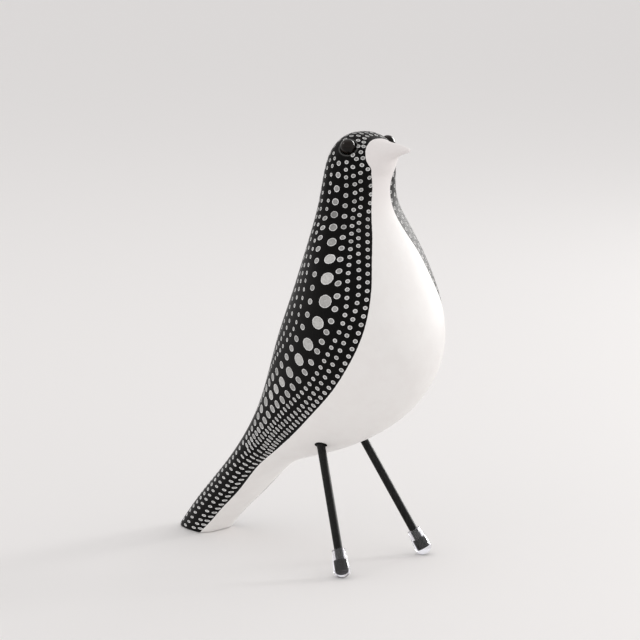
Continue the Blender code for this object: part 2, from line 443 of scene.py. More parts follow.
# The rows from the paint line up to the mid-line of the back, and then those over the crown.
# Their points were measured on the photograph as far as it shows them, and rounded.
DOT_ROWS = (
    DotRow(Grade.SMALL, ((0.83, 79), (1.08, 69), (2.16, 60), (2.55, 55), (2.96, 55), (3.33, 56.5),
                         (3.61, 62), (4.73, 68), (5.31, 67), (5.96, 64.5), (7.28, 57), (7.93, 50),
                         (8.75, 44), (10.09, 26.5), (11.38, 28.5), (12.03, 42))),
    DotRow(Grade.SMALL, ((0.71, 95.5), (0.97, 91), (1.51, 90), (2.66, 75), (3.18, 69.5), (3.44, 70),
                         (3.79, 75), (4.65, 75), (6.65, 68.5), (7.27, 64), (7.93, 57.5), (9.12, 51.5),
                         (10.16, 38.5), (11.47, 46.5), (12.52, 71), (12.65, 87), (12.93, 111),
                         (12.91, 130), (12.75, 180))),
    DotRow(Grade.SMALL, ((0.53, 119.5), (0.66, 115), (0.93, 112.5), (1.36, 108), (1.93, 105), (2.39, 98.5),
                         (2.86, 90), (3.22, 85.5), (4.32, 85.5), (5.24, 80), (6.56, 75), (7.01, 72),
                         (9.56, 55.5), (11.14, 54.5), (11.53, 63), (12.07, 71), (12.05, 80.5))),
    DotRow(Grade.MEDIUM, ((3.12, 96.5), (3.65, 96), (4.28, 97), (4.62, 92.5), (5.02, 90), (5.5, 87),
                          (6.08, 85), (6.56, 83), (7.15, 80), (9.11, 71), (10.33, 61.5), (10.65, 62),
                          (11.51, 76.5))),
    DotRow(Grade.LARGE, ((0.35, 147), (0.62, 140.5), (1.64, 124), (1.91, 125.5), (2.39, 117.5),
                         (2.85, 111.5), (3.18, 110.5), (3.45, 110.5), (3.97, 113.5), (4.42, 108),
                         (4.87, 102), (5.59, 96), (6.02, 94), (6.55, 92), (7.08, 90), (7.64, 90.5),
                         (8.24, 88), (9.18, 85), (10.37, 78.5), (10.82, 80), (11.21, 87))),
    DotRow(Grade.MEDIUM, ((0.35, 165), (1.0, 149), (2.2, 142), (3.2, 136), (4.5, 120), (4.87, 113.5),
                          (5.34, 108.5), (5.85, 106), (6.45, 103.5), (6.99, 106), (7.71, 106.5),
                          (8.46, 106), (9.19, 101))),
    DotRow(Grade.SMALL, ((9.52, 98), (10.64, 95), (10.92, 98), (11.2, 100.5), (11.27, 112)), 0.7),
    DotRow(Grade.SMALL, ((3.3, 151), (4.72, 128.5), (5.37, 118.5), (5.58, 116), (5.91, 113),
                         (6.87, 117.5), (7.23, 119), (7.78, 117), (10.08, 114.5), (10.96, 112)), 0.82),
    DotRow(Grade.SMALL, ((3.7, 156), (4.5, 142), (5.54, 124.5), (6.53, 124.5), (7.01, 127.5), (7.8, 128),
                         (9.0, 127), (10.0, 128), (11.05, 128), (11.6, 138))),
    DotRow(Grade.SMALL, ((1.0, 166), (2.0, 160), (3.0, 161), (3.6, 168), (4.3, 156), (5.0, 142),
                         (5.48, 135), (5.99, 132.5), (6.53, 133), (7.2, 137), (9.0, 141), (10.0, 144),
                         (11.0, 147), (11.6, 153))),
    DotRow(Grade.SMALL, ((4.5, 167), (5.2, 152), (6.0, 142.5), (7.0, 146), (9.0, 154), (10.0, 160),
                         (11.0, 164), (11.6, 167))),
    DotRow(Grade.SMALL, ((5.2, 167), (5.7, 156), (6.3, 152), (7.0, 155.5), (8.0, 161), (8.8, 168))),
    DotRow(Grade.SMALL, ((5.8, 168), (6.4, 162), (7.1, 165), (7.7, 170))),
    DotRow(Grade.SMALL, ((0.7, 180), (2.0, 180), (4.0, 180), (6.0, 180), (8.0, 180), (11.5, 180))),
    DotRow(Grade.SMALL, ((12.64, 105), (12.63, 129), (12.5, 150), (12.46, 180))),
    DotRow(Grade.SMALL, ((12.21, 141), (12.18, 158), (12.16, 180))),
    DotRow(Grade.SMALL, ((11.95, 128), (11.9, 148), (11.86, 180))),
)

# The border between black and white, in points of (place, turn in degrees), measured likewise.
PAINT_LINE = ((0.0, 84), (0.76, 71.5), (1.06, 56), (1.25, 51.5), (1.6, 49), (1.9, 45.5), (2.2, 42.5),
              (2.5, 42.5), (2.9, 46), (3.5, 54), (3.85, 58.5), (4.25, 62), (4.8, 64), (5.5, 63), (6.2, 61),
              (6.7, 58.5), (7.1, 55.5), (7.55, 51), (8.2, 44), (9.0, 37), (9.5, 29.5), (10.0, 23),
              (10.6, 19), (11.0, 20), (11.9, 32), (12.44, 50), (12.64, 66), (12.99, 95), (13.11, 120),
              (13.16, 150), (13.19, 190), (13.3, 400))
# How many degrees further towards the breast the left side's black reaches at some places.
LEFT_CREEP = ((0.3, 0), (0.7, 15), (1.9, 15), (2.7, 0))


class Graph:
    """A material's nodes, made and linked by short calls."""

    def __init__(self, name: str) -> None:
        """Start a material with only its Principled shader.

        Args:
            name: What the material is called.
        """
        self.material = bpy.data.materials.new(name)
        self.material.use_nodes = True
        self.tree = self.material.node_tree
        self.shader = self.tree.nodes["Principled BSDF"]

    def add(self, kind: str, inputs: dict | None = None, **settings: object) -> bpy.types.Node:
        """Make a node.

        Args:
            kind: The node's type, without its ShaderNode prefix.
            inputs: A value or an output socket for each input, by name or number.
            settings: The node's own properties.

        Returns:
            The new node.
        """
        node = self.tree.nodes.new("ShaderNode" + kind)
        for name, value in settings.items():
            setattr(node, name, value)
        for name, value in (inputs or {}).items():
            self.set(node, name, value)
        return node

    def set(self, node: bpy.types.Node, name: str | int, value: object) -> None:
        """Give an input a value, or link an output socket to it.

        Args:
            node: The node.
            name: The input's name or number.
            value: The value or the output socket.
        """
        if isinstance(value, bpy.types.NodeSocket):
            self.tree.links.new(value, node.inputs[name])
        else:
            node.inputs[name].default_value = value

    def math(self, operation: str, *values: object) -> bpy.types.NodeSocket:
        """The result of a Math node on these values or sockets."""
        return self.add("Math", dict(enumerate(values)), operation=operation).outputs[0]

    def fade(self, value: object, low: float, high: float, start: float = 0.0,
             end: float = 1.0) -> bpy.types.NodeSocket:
        """Ease smoothly from start to end while the value goes from low to high."""
        inputs = {"Value": value, "From Min": low, "From Max": high, "To Min": start, "To Max": end}
        return self.add("MapRange", inputs, interpolation_type="SMOOTHSTEP").outputs[0]

    def blend(self, share: object, first: object, second: object) -> bpy.types.NodeSocket:
        """Mix two colours.

        Args:
            share: How much of the second there is.
            first: The first colour or its socket.
            second: The second colour or its socket.

        Returns:
            The mixed colour.
        """
        node = self.add("Mix", data_type="RGBA")
        # The colours' sockets of a Mix node are its inputs 6 and 7 and its output 2.
        for number, value in ((0, share), (6, first), (7, second)):
            self.set(node, number, value)
        return node.outputs[2]

    def noise(self, place: bpy.types.NodeSocket, size: float, detail: float = 2.0,
              raggedness: float = 0.55) -> bpy.types.NodeSocket:
        """Soft noise about one half, with blots of this size in millimetres."""
        inputs = {"Vector": place, "Scale": 1.0 / (size * MM), "Detail": detail,
                  "Roughness": raggedness}
        return self.add("TexNoise", inputs).outputs[0]

    def value(self, attribute: str) -> bpy.types.NodeSocket:
        """A number that the mesh carries."""
        return self.add("Attribute", attribute_name=attribute).outputs["Fac"]

    def finish(self, values: dict) -> bpy.types.Material:
        """Set the shader's inputs.

        Args:
            values: A value or an output socket for each of its inputs.

        Returns:
            The finished material.
        """
        for name, value in values.items():
            self.set(self.shader, name, value)
        return self.material


def colour(red: float, green: float, blue: float) -> tuple:
    """An opaque colour."""
    return red, green, blue, 1.0


@dataclass(frozen=True)
class PaintedResin:
    """Satin black and white paint on cast resin, with light dots on the black.

    Names in between give where a fade starts and ends, and sizes are in millimetres.
    """

    black: tuple = colour(0.0022, 0.0021, 0.0020)
    worn_black: tuple = colour(0.0085, 0.0082, 0.0078)
    worn_between: tuple = (0.35, 0.75)
    white: tuple = colour(0.93, 0.915, 0.90)
    white_shade: tuple = colour(0.915, 0.895, 0.88)
    shade_between: tuple = (0.35, 0.7)
    # The face's rosier, darker white is partly the paint's own tint and partly painted shade, blended in by
    # height.
    face_white: tuple = colour(0.875, 0.84, 0.83)
    face_between: tuple = (205.0, 250.0)
    # A grey band along the lip of each bead seat is a painted highlight, patchy with the clouds.
    lip_grey: tuple = colour(0.13, 0.128, 0.125)
    lip_between: tuple = (0.2, 0.6)
    lip_least: float = 0.35
    border_wave: float = 2.2
    border_wander: float = 0.5
    border_soft: float = 0.10
    speckle_size: float = 0.5
    cloud_size: float = 9.0
    dot_middle: tuple = colour(0.29, 0.29, 0.285)
    dot_large: tuple = colour(0.43, 0.43, 0.42)
    large_between: tuple = (2.0, 3.4)
    dot_rim: tuple = colour(0.92, 0.92, 0.91)
    rim_between: tuple = (0.14, 0.62)
    dot_between: tuple = (-0.06, 0.09)
    dot_wave: float = 1.3
    dot_wander: float = 0.16
    tint_least: float = 0.80
    tint_spread: float = 0.40
    stroke_size: float = 1.4
    stroke_least: float = 0.40
    stroke_spread: float = 0.7
    grain: float = 0.5
    dish_depth: float = 0.32
    ripple_size: float = 1.6
    ripple_height: float = 0.03
    grit_between: tuple = (0.3, 0.7)
    roughness: tuple = (0.40, 0.52)
    dot_rougher: float = 0.12
    refraction: float = 1.46
    gloss: float = 0.07
    haze: float = 0.35
    haze_roughness: float = 0.16

    def ground(self, graph: Graph, place: bpy.types.NodeSocket,
               speckle: bpy.types.NodeSocket) -> bpy.types.NodeSocket:
        """Colour the paint under the dots.

        Args:
            graph: The material's nodes.
            place: Object coordinates.
            speckle: Fine noise.

        Returns:
            Black on one side of the border and white on the other, with a painted highlight on the lip of each
            bead seat, and a rosier face that grows darker towards the top of the head, partly the paint's own
            tint and partly painted shade.
        """
        clouds = graph.noise(place, self.cloud_size, 3.0)
        wander = graph.math("MULTIPLY_ADD", graph.noise(place, self.border_wave), self.border_wander,
                            -self.border_wander / 2)
        is_black = graph.fade(graph.math("ADD", graph.value("paint"), wander),
                              -self.border_soft, self.border_soft)
        black = graph.blend(graph.fade(speckle, *self.worn_between), self.black, self.worn_black)
        white = graph.blend(graph.fade(clouds, *self.shade_between), self.white, self.white_shade)
        # Painted shade in part: the white turns rosier and darker towards the top of the head.
        height = graph.add("SeparateXYZ", {0: place}).outputs[2]
        low, high = self.face_between
        white = graph.blend(graph.fade(height, low * MM, high * MM), white, self.face_white)
        # Painted highlight: grey on the black along the lip of each bead seat.
        lip = graph.math("MULTIPLY", graph.value("seat_lip_glint"),
                         graph.fade(clouds, *self.lip_between, self.lip_least, 1.0))
        return graph.blend(is_black, white, graph.blend(lip, black, self.lip_grey))

    def dot_paint(self, graph: Graph, place: bpy.types.NodeSocket, speckle: bpy.types.NodeSocket,
                  inside: bpy.types.NodeSocket, radius: bpy.types.NodeSocket) -> bpy.types.NodeSocket:
        """Colour the dots, with a light rim round a greyer middle.

        Args:
            graph: The material's nodes.
            place: Object coordinates.
            speckle: Fine noise.
            inside: Distance from the dot's edge inwards, in millimetres.
            radius: The dot's radius in millimetres.

        Returns:
            The dots' colour, with its strokes and grain.
        """
        middle = graph.blend(graph.fade(radius, *self.large_between), self.dot_middle, self.dot_large)
        paint = graph.blend(graph.fade(inside, *self.rim_between, 1.0, 0.0), middle, self.dot_rim)
        tint = graph.math("MULTIPLY_ADD", graph.value("dot_shade"), self.tint_spread, self.tint_least)
        strokes = graph.math("MULTIPLY_ADD", graph.noise(place, self.stroke_size, 3.0),
                             self.stroke_spread, self.stroke_least)
        shade = graph.math("MULTIPLY", tint, graph.math("MULTIPLY_ADD", speckle, self.grain, strokes))
        grey = graph.add("CombineColor", {0: shade, 1: shade, 2: shade}).outputs[0]
        shaded = graph.add("Mix", {0: 1.0, 6: paint, 7: grey}, data_type="RGBA",
                           blend_type="MULTIPLY", clamp_result=True)
        return shaded.outputs[2]

    def relief(self, graph: Graph, place: bpy.types.NodeSocket, reach: bpy.types.NodeSocket,
               radius: bpy.types.NodeSocket) -> bpy.types.NodeSocket:
        """Shade each dot as a shallow dish in lightly rippled paint.

        Args:
            graph: The material's nodes.
            place: Object coordinates.
            reach: Distance from the dot's middle, which is 1 at its edge.
            radius: The dot's radius in millimetres.

        Returns:
            The bumped normal.
        """
        bowl = graph.math("POWER", graph.math("MINIMUM", reach, 1.0), 2.0)
        hollow = graph.math("MULTIPLY", graph.math("SUBTRACT", 1.0, bowl), radius)
        dish = graph.math("MULTIPLY", hollow, -self.dish_depth * MM)
        ripple = graph.math("MULTIPLY", graph.noise(place, self.ripple_size, 3.0),
                            self.ripple_height * MM)
        bump = graph.add("Bump", {"Strength": 1.0, "Distance": 1.0,
                                  "Height": graph.math("ADD", dish, ripple)})
        return bump.outputs[0]

    def build(self) -> bpy.types.Material:
        """Make the material.

        Returns:
            A material that reads the mesh's numbers paint, seat_lip_glint, dot_radius and dot_shade, and
            its UV map dots.
        """
        graph = Graph("painted resin")
        place = graph.add("TexCoord").outputs["Object"]
        speckle = graph.noise(place, self.speckle_size, 4.0)
        spot = graph.add("UVMap", uv_map="dots").outputs[0]
        wobble = graph.math("MULTIPLY_ADD", graph.noise(place, self.dot_wave), self.dot_wander,
                            1.0 - self.dot_wander / 2)
        off_middle = graph.add("VectorMath", {0: spot}, operation="LENGTH").outputs[1]
        reach = graph.math("MULTIPLY", off_middle, wobble)
        radius = graph.value("dot_radius")
        inside = graph.math("MULTIPLY", graph.math("SUBTRACT", 1.0, reach), radius)
        is_dot = graph.fade(inside, *self.dot_between)
        rough = graph.fade(speckle, *self.grit_between, *self.roughness)
        return graph.finish({
            "Base Color": graph.blend(is_dot, self.ground(graph, place, speckle),
                                      self.dot_paint(graph, place, speckle, inside, radius)),
            "Roughness": graph.math("ADD", rough, graph.math("MULTIPLY", is_dot, self.dot_rougher)),
            "Normal": self.relief(graph, place, reach, radius),
            "IOR": self.refraction,
            "Specular IOR Level": self.gloss,
            "Sheen Weight": self.haze,
            "Sheen Roughness": self.haze_roughness,
        })


@dataclass(frozen=True)
class GlossBead:
    """Polished black glass-like bead."""

    black: tuple = colour(0.0035, 0.0028, 0.0025)
    # The brown is partly the glass's own brown and partly a painted brown reflection.
    brown: tuple = colour(0.011, 0.006, 0.004)
    cloud_size: float = 6.0
    brown_between: tuple = (0.35, 0.7)
    smear_size: float = 1.5
    smear_between: tuple = (0.4, 0.8)
    roughness: tuple = (0.03, 0.06)
    refraction: float = 1.5
    gloss: float = 0.2

    def build(self) -> bpy.types.Material:
        """Make the material.

        Returns:
            Black that turns faintly brown in places, partly the glass's own brown and partly a painted brown
            reflection, with faint smears.
        """
        graph = Graph("polished black bead")
        place = graph.add("TexCoord").outputs["Object"]
        clouds = graph.noise(place, self.cloud_size)
        smears = graph.noise(place, self.smear_size, 3.0)
        return graph.finish({
            "Base Color": graph.blend(graph.fade(clouds, *self.brown_between), self.black, self.brown),
            "Roughness": graph.fade(smears, *self.smear_between, *self.roughness),
            "IOR": self.refraction,
            "Specular IOR Level": self.gloss,
        })


@dataclass(frozen=True)
class LacqueredSteel:
    """Satin black lacquer on a thin steel rod, brushed along its length."""

    black: tuple = colour(0.0045, 0.0045, 0.0042)
    grey: tuple = colour(0.014, 0.014, 0.0135)
    grey_between: tuple = (0.35, 0.7)
    streak_size: float = 0.7
    streak_squeeze: tuple = (1.0, 1.0, 0.04)
    streak_height: float = 0.02
    streak_strength: float = 0.4
    dust_size: float = 0.6
    dust_between: tuple = (0.3, 0.7)
    roughness: tuple = (0.34, 0.46)
    refraction: float = 1.5
    gloss: float = 0.16

    def build(self) -> bpy.types.Material:
        """Make the material.

        Returns:
            A material whose streaks run up and down the rod.
        """
        graph = Graph("lacquered steel")
        place = graph.add("TexCoord").outputs["Object"]
        along = graph.add("Mapping", {"Vector": place, "Scale": self.streak_squeeze}).outputs[0]
        streaks = graph.noise(along, self.streak_size, 3.0)
        dust = graph.noise(place, self.dust_size, 3.0)
        bump = graph.add("Bump", {"Strength": self.streak_strength, "Distance": 1.0,
                                  "Height": graph.math("MULTIPLY", streaks, self.streak_height * MM)})
        return graph.finish({
            "Base Color": graph.blend(graph.fade(streaks, *self.grey_between), self.black, self.grey),
            "Roughness": graph.fade(dust, *self.dust_between, *self.roughness),
            "Normal": bump.outputs[0],
            "IOR": self.refraction,
            "Specular IOR Level": self.gloss,
        })


@dataclass(frozen=True)
class ClearPlastic:
    """Clear moulded plastic, faintly cool, with the slight waviness of a moulding."""

    tint: tuple = colour(0.93, 0.93, 0.985)
    wave_size: float = 3.0
    wave_height: float = 0.03
    wave_strength: float = 0.5
    roughness: float = 0.04
    refraction: float = 1.49
    gloss: float = 0.3

    def build(self) -> bpy.types.Material:
        """Make the material.

        Returns:
            A material that light passes through.
        """
        graph = Graph("clear plastic")
        place = graph.add("TexCoord").outputs["Object"]
        wave = graph.math("MULTIPLY", graph.noise(place, self.wave_size), self.wave_height * MM)
        bump = graph.add("Bump", {"Strength": self.wave_strength, "Distance": 1.0, "Height": wave})
        return graph.finish({
            "Base Color": self.tint,
            "Roughness": self.roughness,
            "Transmission Weight": 1.0,
            "IOR": self.refraction,
            "Specular IOR Level": self.gloss,
            "Normal": bump.outputs[0],
        })


@dataclass(frozen=True)
class PaleBoard:
    """The plain pale floor of the studio."""

    pale: tuple = colour(0.885, 0.871, 0.866)
    roughness: float = 0.75

    def build(self) -> bpy.types.Material:
        """Make the material."""
        return Graph("pale board").finish({"Base Color": self.pale, "Roughness": self.roughness})


@dataclass(frozen=True)
class Bead:
    """Place and size of one bead eye, from the CAD node, and the seat it needs."""

    side: Side
    seat_radius: float = 5.3
    seat_depth: float = 1.1
    seat_gap: float = 0.25
    left_outward: tuple = (0.37, 0.77, 0.52)
    segments: int = 72
    rings: int = 48

    @property
    def node(self) -> str:
        """Name of the CAD node."""
        return "eye_" + self.side.label

    @property
    def middle(self) -> Vector:
        """Middle of the bead."""
        low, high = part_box(self.node)
        return (low + high) / 2

    @property
    def radius(self) -> float:
        """Radius of the bead in metres."""
        low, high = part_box(self.node)
        return (high.z - low.z) / 2

    @property
    def frame(self) -> Matrix:
        """A frame with its origin in the middle of the bead and +Z out of the head."""
        outward = Vector(self.left_outward)
        outward.y *= self.side.value
        return Matrix.Translation(self.middle) @ outward.to_track_quat("Z", "Y").to_matrix().to_4x4()

    def build(self, material: bpy.types.Material) -> bpy.types.Object:
        """Model the bead as a fine round ball in its seat.

        Args:
            material: The bead's finish.

        Returns:
            The finished piece.
        """
        bm = bmesh.new()
        bmesh.ops.create_uvsphere(bm, u_segments=self.segments, v_segments=self.rings,
                                  radius=self.radius)
        bmesh.ops.transform(bm, matrix=self.frame, verts=bm.verts)
        name = self.node + "_bead"
        return finish_piece(name, mesh_from(bm, name), material, self.node)


@dataclass(frozen=True)
class Foot:
    """One leg with its clear cap, both turned about the rod's middle line.

    Heights are measured up the rod from the lowest end of the cap, before it is worn flat.
    """

    side: Side
    cap_length: float = 18.0
    collar_wall: float = 1.6
    toe_wall: float = 2.6
    toe_rise: float = 4.6
    toe_points: int = 17
    flank_points: int = 19
    corner: float = 0.5
    corner_points: int = 6
    mouth_bevel: float = 0.2
    glue_low: float = 4.2
    glue_high: float = 11.2
    glue_radius: float = 2.85
    glue_gap: float = 0.1
    end_round: float = 0.35
    end_slope: float = 0.3
    rod_levels: int = 40
    steps: int = 72
    worn_within: float = 1e-7

    @property
    def leg_node(self) -> str:
        """Name of the rod's CAD node."""
        return "leg_" + self.side.label

    @property
    def cap_node(self) -> str:
        """Name of the cap's CAD node."""
        return "foot_cap_" + self.side.label

    @property
    def rod(self) -> Spindle:
        """The rod's middle line."""
        return Spindle.of_node(self.leg_node)

    @property
    def cap_frame(self) -> Matrix:
        """A frame at the lowest end of the cap, before it is worn flat, with +Z up the rod."""
        rod = self.rod
        axis = (rod.high - rod.low).normalized()
        reach = mesh_positions(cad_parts[self.cap_node].data) - np.array(rod.low)
        top = (reach @ np.array(axis)).max()
        start = rod.low + axis * (top - self.cap_length * MM)
        return Matrix.Translation(start) @ axis.to_track_quat("Z", "Y").to_matrix().to_4x4()

    def turned(self, profile: list, place: Matrix) -> bmesh.types.BMesh:
        """Spin a half outline about the local Z axis.

        Args:
            profile: Radius and height of each point, in metres, from end to end.
            place: Where the turned shape goes.

        Returns:
            The closed shape in the row frame.
        """
        bm = bmesh.new()
        points = [bm.verts.new((radius, 0.0, height)) for radius, height in profile]
        edges = [bm.edges.new(pair) for pair in zip(points, points[1:])]
        bmesh.ops.spin(bm, geom=points + edges, cent=(0.0, 0.0, 0.0), axis=(0.0, 0.0, 1.0),
                       angle=math.tau, steps=self.steps, use_merge=True)
        bmesh.ops.remove_doubles(bm, verts=bm.verts, dist=SAME_SPOT)
        bmesh.ops.transform(bm, matrix=place, verts=bm.verts)
        return bm

    def build_rod(self, material: bpy.types.Material) -> bpy.types.Object:
        """Model the rod, with the ring of glue that fills the cap's lower bore.

        Args:
            material: The rod's finish.

        Returns:
            The finished piece.
        """
        rod = self.rod
        base = (self.cap_frame.inverted() @ rod.low).z
        soft = self.end_round * MM
        slope = soft * self.end_slope
        glue = self.glue_radius * MM
        low = self.glue_low * MM - base
        high = self.glue_high * MM - base - self.glue_gap * MM
        profile = [(0.0, low), (glue - soft, low), (glue - slope, low + slope), (glue, low + soft),
                   (glue, high), (rod.radius, high)]
        levels = np.linspace(high, rod.length, self.rod_levels)[1:-1]
        profile += [(rod.radius, float(level)) for level in levels]
        profile += [(rod.radius, rod.length - soft), (rod.radius - soft, rod.length), (0.0, rod.length)]
        name = self.leg_node + "_rod"
        bm = self.turned(profile, rod.frame)
        return finish_piece(name, mesh_from(bm, name), material, self.leg_node)

    def cap_profile(self) -> list:
        """Draw half the outline of the clear cap.

        Returns:
            Radius and height of each point, from its toe up the outside and down the open bore.
        """
        bore = self.glue_radius * MM
        collar = bore + self.collar_wall * MM
        toe = min(Spindle.of_node(self.cap_node).radius, bore + self.toe_wall * MM)
        top = self.cap_length * MM
        corner = self.corner * MM
        bevel = self.mouth_bevel * MM
        rise = self.toe_rise * MM
        profile = [(toe * math.sin(turn), rise * (1.0 - math.cos(turn)))
                   for turn in np.linspace(0.0, math.pi / 2, self.toe_points)]
        for share in np.linspace(0.0, 1.0, self.flank_points)[1:]:
            wide = toe + (collar - toe) * float(smooth_step(np.array(share)))
            profile.append((wide, rise + (top - corner - rise) * share))
        profile += [(collar - corner * (1.0 - math.cos(turn)), top - corner + corner * math.sin(turn))
                    for turn in np.linspace(0.0, math.pi / 2, self.corner_points)[1:]]
        profile += [(bore + bevel, top), (bore, top - bevel), (bore, self.glue_high * MM),
                    (0.0, self.glue_high * MM)]
        return profile

    def build_cap(self, material: bpy.types.Material) -> bpy.types.Object:
        """Model the clear cap, worn flat where it stands.

        Args:
            material: The cap's finish.

        Returns:
            The finished piece.
        """
        name = self.cap_node + "_clear"
        bm = self.turned(self.cap_profile(), self.cap_frame)
        geometry = list(bm.verts) + list(bm.edges) + list(bm.faces)
        bmesh.ops.holes_fill(bm, edges=cut_at_floor(bm, geometry, self.worn_within))
        return finish_piece(name, mesh_from(bm, name), material, self.cap_node)


@dataclass(frozen=True)
class BirdBody:
    """The cast body: a fine skin over the form, with eye seats, leg holes, paint and dots.

    The skin is made finer within each share of fine_reach that bead_refines and hole_refines
    give. Below each first place in brighter_below the dots get lighter, over the second, by the
    third. Paint distances are millimetres from the border between black and white.
    """

    form: BodyForm
    beads: tuple
    feet: tuple
    rings: int = 372
    sides: int = 224
    belly_coarseness: float = 0.3
    fine_reach: float = 11.0
    bead_refines: tuple = (1.0, 0.8)
    hole_refines: tuple = (0.7, 0.5)
    seat_blend: float = 0.35
    socket_drop: float = 2.0
    lip_width: float = 0.45
    belly_places: tuple = (3.5, 6.5)
    belly_turns: tuple = (0.0, 75.0)
    belly_grid: int = 240
    hole_gap: float = 0.3
    hole_flare: float = 0.9
    hole_sink: float = 1.4
    hole_depth: float = 12.0
    hole_lips_near: float = 3.0
    # The countersink's lip and the bore of each leg hole are painted black as painted shade in the hole.
    lip_paint: float = 0.15
    hole_paint: float = 2.0
    cut_round: float = 1.6
    cut_turns: tuple = (18.0, 36.0, 56.0)
    cut_fullness: float = 0.96
    brighter_below: tuple = ((3.7, 0.8, 0.9), (9.8, 1.6, 0.7))
    paint_line: tuple = PAINT_LINE
    left_creep: tuple = LEFT_CREEP
    rows: tuple = DOT_ROWS
    dots_near: int = 3
    widest_spot: float = 9.0
    shade_seed: int = 7

    def places_and_turns(self, bm: bmesh.types.BMesh) -> tuple:
        """Read a flat sheet as places along the body and turns round it.

        Args:
            bm: The sheet, whose x runs along the body and whose y runs round it.

        Returns:
            An array of places and an array of turns in radians, one for each vertex.
        """
        flat = np.array([vert.co[:2] for vert in bm.verts])
        even = self.form.even_places(self.rings + 1)
        places = np.interp(flat[:, 0] + 0.5, np.linspace(0.0, 1.0, len(even)), even)
        share = flat[:, 1] * 2.0
        turns = math.pi * share + self.belly_coarseness * np.sin(math.pi * share)
        return places, turns

    def refine(self, bm: bmesh.types.BMesh, middle: Vector, reach: float) -> None:
        """Make the flat sheet finer where it will lie near a point of the body.

        Args:
            bm: The flat sheet.
            middle: The point in metres.
            reach: How far from it the finer mesh goes, in metres.
        """
        wrapped = self.form.points(*self.places_and_turns(bm))
        near = np.linalg.norm(wrapped - np.array(middle), axis=1) < reach
        bm.verts.ensure_lookup_table()
        chosen = {edge for index in np.flatnonzero(near) for edge in bm.verts[index].link_edges}
        bmesh.ops.subdivide_edges(bm, edges=sorted(chosen, key=lambda edge: edge.index), cuts=1,
                                  use_grid_fill=True)
        bm.edges.index_update()

    def skin(self) -> bmesh.types.BMesh:
        """Wrap a flat sheet round the form and cut it level with the floor.

        Returns:
            The skin, whose vertices carry their distance from the paint line as paint.
        """
        bm = bmesh.new()
        bmesh.ops.create_grid(bm, x_segments=self.rings, y_segments=self.sides, size=0.5)
        for spot, reach in self.fine_spots():
            self.refine(bm, spot, reach)
        places, turns = self.places_and_turns(bm)
        wrapped = self.form.points(places, turns)
        paint = self.paint_distance(places, turns)
        layer = bm.verts.layers.float.new("paint")
        # This layer marks where the painted highlight on the lips of the bead seats goes.
        bm.verts.layers.float.new("seat_lip_glint")
        for vert, point, distance in zip(bm.verts, wrapped.tolist(), paint.tolist()):
            vert.co = point
            vert[layer] = distance
        bmesh.ops.remove_doubles(bm, verts=bm.verts, dist=SAME_SPOT)
        for bead in self.beads:
            self.press_seat(bm, bead)
        for foot in self.feet:
            self.drill_hole(bm, foot, layer)
        geometry = list(bm.verts) + list(bm.edges) + list(bm.faces)
        rim = cut_at_floor(bm, geometry, SAME_SPOT)
        self.soften_cut(bm, rim)
        bmesh.ops.holes_fill(bm, edges=rim)
        return bm

    def soften_cut(self, bm: bmesh.types.BMesh, rim: list) -> None:
        """Round the edge between the tail and its flat cut.

        Args:
            bm: The open skin, already cut level with the floor.
            rim: The edges of the cut.
        """
        around = {vert for edge in rim for vert in edge.verts}
        middle = sum((vert.co for vert in around), Vector()) / len(around)
        radius = self.cut_round * MM
        for turn in np.radians(self.cut_turns):
            near = [face for face in bm.faces if min(vert.co.z for vert in face.verts) < radius]
            geometry = {item for face in near for item in (*face.verts, *face.edges, face)}
            order = sorted(geometry, key=lambda item: (type(item).__name__, item.index))
            level = radius * (1.0 - math.cos(turn))
            bmesh.ops.bisect_plane(bm, geom=order, dist=SAME_SPOT, plane_co=(0.0, 0.0, level),
                                   plane_no=(0.0, 0.0, 1.0))
            for layer in (bm.verts, bm.edges, bm.faces):
                layer.index_update()
        for vert in bm.verts:
            if vert.co.z < radius:
                outward = Vector((vert.co.x - middle.x, vert.co.y - middle.y, 0.0)).normalized()
                drop = 1.0 - max(vert.co.z, 0.0) / radius
                vert.co -= outward * radius * (1.0 - math.sqrt(1.0 - self.cut_fullness * drop * drop))

    def fine_spots(self) -> list:
        """Find where the sheet is made finer.

        Returns:
            Points and reaches, in metres.
        """
        spots = [(bead.middle, share) for bead in self.beads for share in self.bead_refines]
        for foot in self.feet:
            mouth = self.hole_mouth(foot)
            spots += [(mouth, share) for share in self.hole_refines]
        return [(spot, share * self.fine_reach * MM) for spot, share in spots]

    def hole_mouth(self, foot: Foot) -> Vector:
        """Find where a rod's middle line comes out of the belly.

        Args:
            foot: The leg.

        Returns:
            The nearest point of the belly to the line.
        """
        rod = foot.rod
        along = np.linspace(*self.belly_places, self.belly_grid)
        around = np.radians(np.linspace(*self.belly_turns, self.belly_grid)) * foot.side.value
        places, turns = (grid.ravel() for grid in np.meshgrid(along, around))
        found = self.form.points(places, turns)
        axis = np.array((rod.high - rod.low).normalized())
        reach = found - np.array(rod.low)
        off = np.linalg.norm(reach - np.outer(reach @ axis, axis), axis=1)
        return Vector(found[off.argmin()])

    def press_seat(self, bm: bmesh.types.BMesh, bead: Bead) -> None:
        """Press the shallow round seat of a bead into the head, and mark its lip for a painted highlight.

        Args:
            bm: The skin.
            bead: The bead that sits there.
        """
        outward = bead.frame
        inward = outward.inverted()
        lip = bm.verts.layers.float["seat_lip_glint"]
        socket = bead.radius + bead.seat_gap * MM
        floor = -bead.seat_depth * MM
        blend = self.seat_blend * MM
        for vert in bm.verts:
            local = inward @ vert.co
            if local.length > self.fine_reach * MM:
                continue
            off = math.hypot(local.x, local.y)
            wall = floor + max(0.0, off - bead.seat_radius * MM)
            if off < socket:
                wall -= self.socket_drop * MM * min(1.0, (socket - off) / blend)
            if off > socket:
